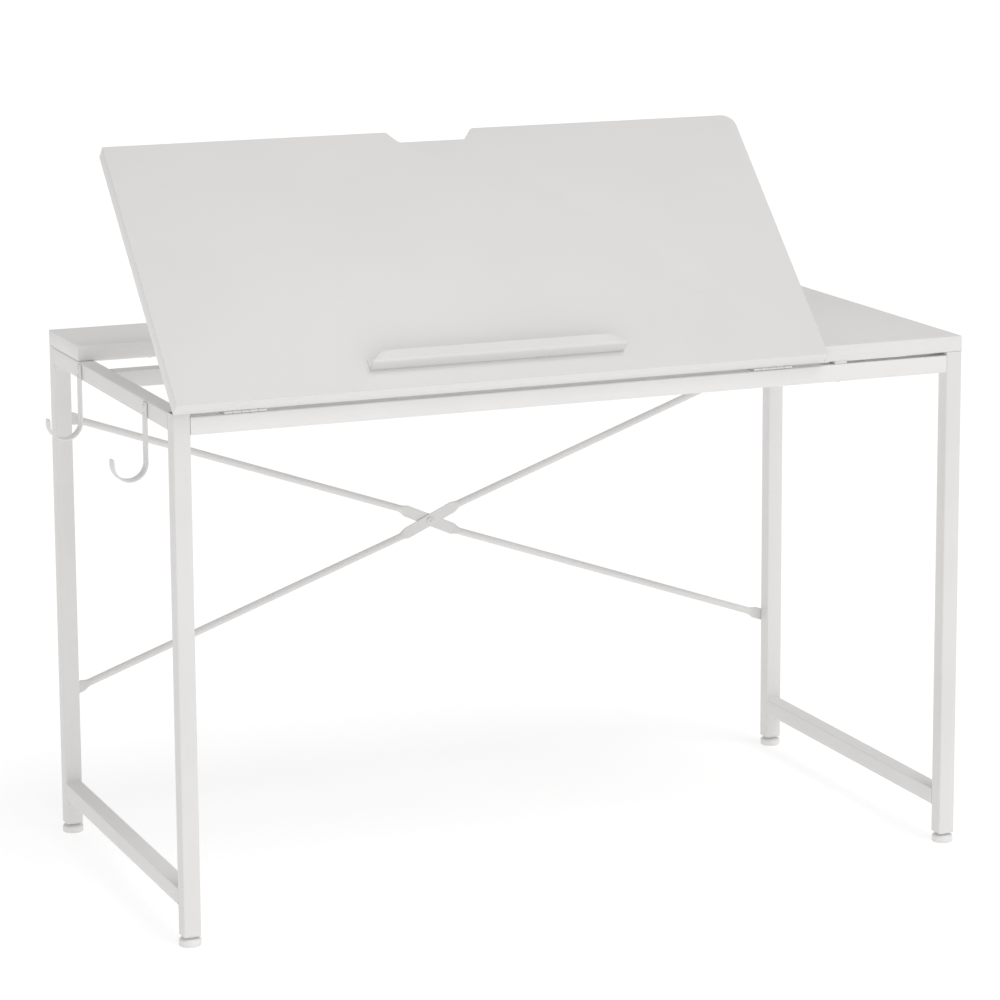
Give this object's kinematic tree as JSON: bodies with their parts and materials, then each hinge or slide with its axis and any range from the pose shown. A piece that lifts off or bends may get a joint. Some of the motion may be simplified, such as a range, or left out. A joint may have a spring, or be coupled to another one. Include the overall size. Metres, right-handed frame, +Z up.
{
  "type": "drafting table",
  "caption": "White steel drafting table with a tilting drawing panel set in an L-shaped fixed top, a pencil ledge, side hooks, a cross brace and levelling feet.",
  "frame": {"origin": "On the floor, under the middle of the table's overall box.", "axes": "+X is the sitter's right along the desk's width, +Y points to the back, +Z is up."},
  "size_m": [1.2542, 0.6254, 1.0701],
  "materials": {
    "powder_coat": "white powder coat with a faint orange peel, satin",
    "melamine_board": "white melamine on particle board, matte, with matching edge band",
    "white_plastic": "white moulded plastic, satin",
    "zinc_steel": "bright zinc plated steel"
  },
  "bodies": {
    "frame": {"board_spacer": "white_plastic", "brace_bar_front": "powder_coat", "brace_bar_rear": "powder_coat", "brace_bolt_lower_left": "zinc_steel", "brace_bolt_lower_right": "zinc_steel", "brace_bolt_upper_left": "zinc_steel", "brace_bolt_upper_right": "zinc_steel", "brace_centre_bolt": "powder_coat", "corner_bracket_front_left": "powder_coat", "corner_bracket_front_right": "powder_coat", "corner_bracket_middle_left": "powder_coat", "corner_bracket_middle_right": "powder_coat", "corner_bracket_rear_left": "powder_coat", "corner_bracket_rear_right": "powder_coat", "fixed_top": "melamine_board", "front_crossbar": "powder_coat", "front_leg_left": "powder_coat", "front_leg_right": "powder_coat", "hinge_frame_leaf_left": "powder_coat", "hinge_frame_leaf_right": "powder_coat", "hinge_pin_left": "zinc_steel", "hinge_pin_right": "zinc_steel", "hook_screw_front_lower": "powder_coat", "hook_screw_front_upper": "powder_coat", "hook_screw_rear_lower": "powder_coat", "hook_screw_rear_upper": "powder_coat", "leg_insert_front_left": "white_plastic", "leg_insert_front_right": "white_plastic", "leg_insert_rear_left": "white_plastic", "leg_insert_rear_right": "white_plastic", "lower_stretcher_left": "powder_coat", "lower_stretcher_right": "powder_coat", "middle_rail": "powder_coat", "rear_crossbar": "powder_coat", "rear_leg_left": "powder_coat", "rear_leg_right": "powder_coat", "side_hook_front": "powder_coat", "side_hook_rear": "powder_coat", "support_track_left": "powder_coat", "support_track_right": "powder_coat", "top_rail_left": "powder_coat", "top_rail_right": "powder_coat"},
    "tilting_panel": {"hinge_panel_leaf_left": "powder_coat", "hinge_panel_leaf_right": "powder_coat", "pencil_ledge": "powder_coat", "pivot_bracket_left": "powder_coat", "pivot_bracket_right": "powder_coat", "support_pivot_bolt_left": "zinc_steel", "support_pivot_bolt_right": "zinc_steel", "tilt_panel": "melamine_board"},
    "stay": {"support_arm_left": "powder_coat", "support_arm_right": "powder_coat", "support_cross_rod": "powder_coat"},
    "knob_left": {"clamp_knob_left": "white_plastic"},
    "knob_right": {"clamp_knob_right": "white_plastic"},
    "foot_front_left": {"levelling_foot_front_left": "white_plastic"},
    "foot_front_right": {"levelling_foot_front_right": "white_plastic"},
    "foot_rear_left": {"levelling_foot_rear_left": "white_plastic"},
    "foot_rear_right": {"levelling_foot_rear_right": "white_plastic"}
  },
  "joints": [
    {"name": "tilt_hinge", "type": "hinge", "parent": "frame", "child": "tilting_panel", "pos_m": [0, -0.29549, 0.7417], "axis": [1, 0, 0], "range_deg": [-44.5, 15.5]},
    {"name": "stay_pivot", "type": "hinge", "parent": "tilting_panel", "child": "stay", "pos_m": [0, -0.17384, 0.85317], "axis": [1, 0, 0], "range_deg": [-31, 89]},
    {"name": "knob_turn_left", "type": "hinge", "parent": "stay", "child": "knob_left", "pos_m": [-0.37585, -0.06027, 0.73349], "axis": [1, 0, 0], "continuous": true},
    {"name": "knob_turn_right", "type": "hinge", "parent": "stay", "child": "knob_right", "pos_m": [0.19615, -0.06027, 0.73349], "axis": [1, 0, 0], "continuous": true},
    {"name": "foot_turn_front_left", "type": "hinge", "parent": "frame", "child": "foot_front_left", "pos_m": [-0.56335, -0.28299, 0], "axis": [0, 0, 1], "continuous": true},
    {"name": "foot_turn_front_right", "type": "hinge", "parent": "frame", "child": "foot_front_right", "pos_m": [0.61165, -0.28299, 0], "axis": [0, 0, 1], "continuous": true},
    {"name": "foot_turn_rear_left", "type": "hinge", "parent": "frame", "child": "foot_rear_left", "pos_m": [-0.56335, 0.29201, 0], "axis": [0, 0, 1], "continuous": true},
    {"name": "foot_turn_rear_right", "type": "hinge", "parent": "frame", "child": "foot_rear_right", "pos_m": [0.61165, 0.29201, 0], "axis": [0, 0, 1], "continuous": true}
  ],
  "couplings": [
    {"joint": "stay_pivot", "follows": "tilt_hinge", "ratio": -2}
  ]
}
